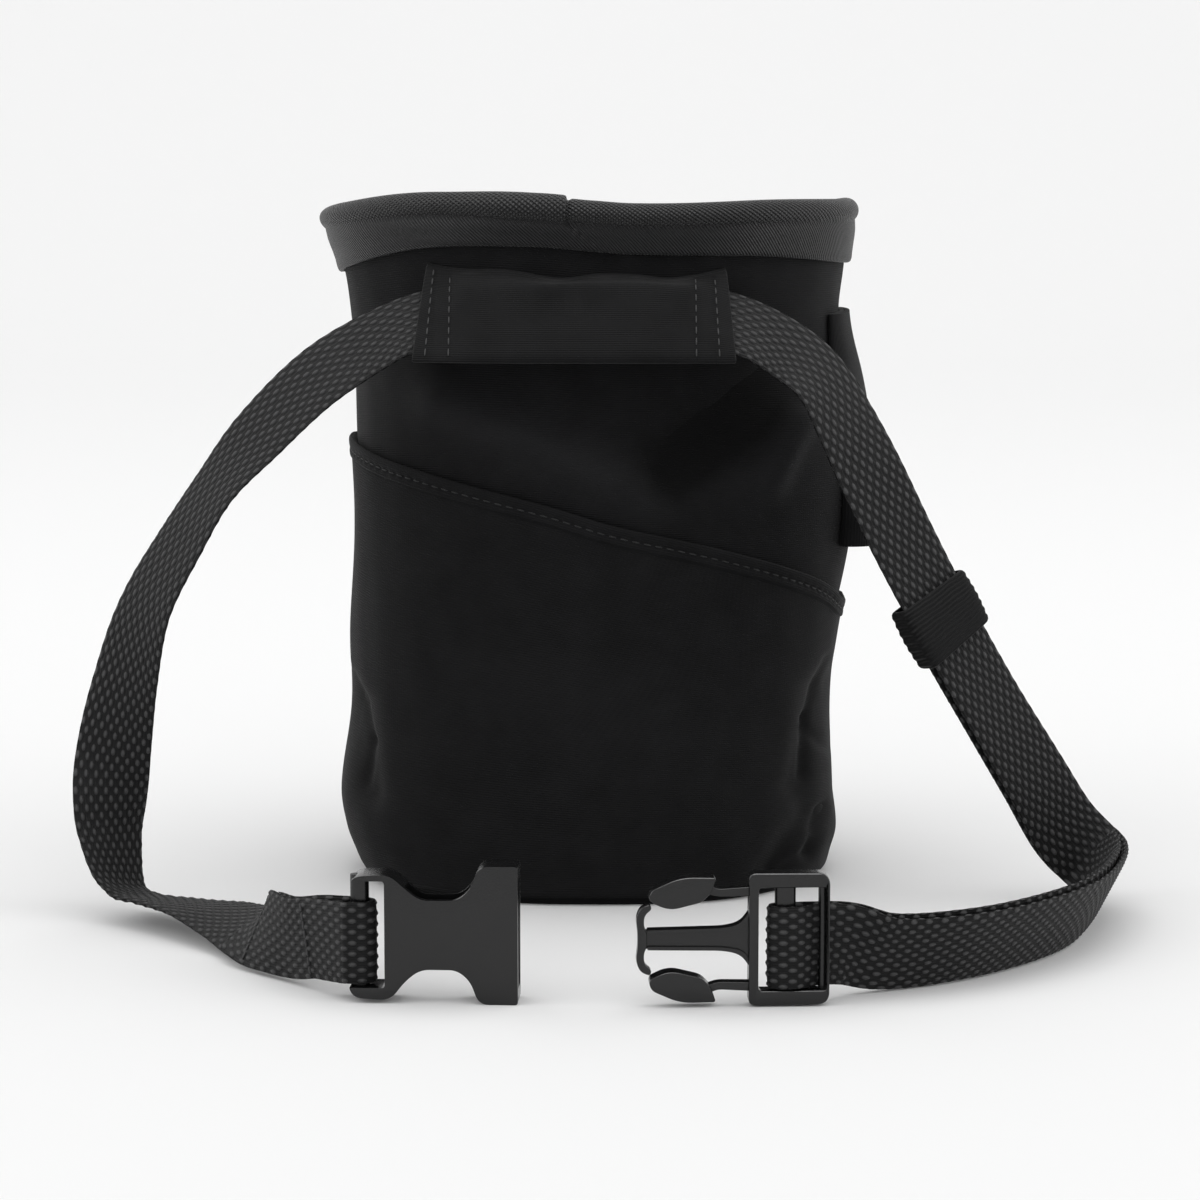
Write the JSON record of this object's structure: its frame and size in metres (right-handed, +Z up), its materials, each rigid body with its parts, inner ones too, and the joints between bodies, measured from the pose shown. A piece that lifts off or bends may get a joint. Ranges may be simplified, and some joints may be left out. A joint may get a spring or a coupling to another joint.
{
  "type": "climbing chalk bag",
  "caption": "Black canvas climbing chalk bag with a stiff taped rim, slanted back pocket, brush loop and waist belt lying open with its side-release buckle apart.",
  "frame": {"origin": "middle of the base, on the surface that the bag stands on", "axes": "+Z up, -Y towards the side with the belt sleeve and pocket, +X towards the brush loop"},
  "size_m": [0.2653, 0.2154, 0.1805],
  "materials": {
    "canvas": "matt ribbed canvas",
    "lining": "matt plain cloth",
    "tape": "herringbone twill",
    "webbing": "coarse woven webbing",
    "elastic": "fine ribbed elastic",
    "thread": "twisted thread",
    "plastic": "satin with fine pebble"
  },
  "bodies": {
    "root": {"bag_wall": "canvas", "base_panel": "canvas", "pocket_panel": "canvas", "rim_binding": "tape", "belt_sleeve": "canvas", "brush_loop": "canvas", "belt_webbing": "webbing", "keeper": "elastic", "buckle_female": "plastic", "buckle_male": "plastic"}
  },
  "joints": []
}
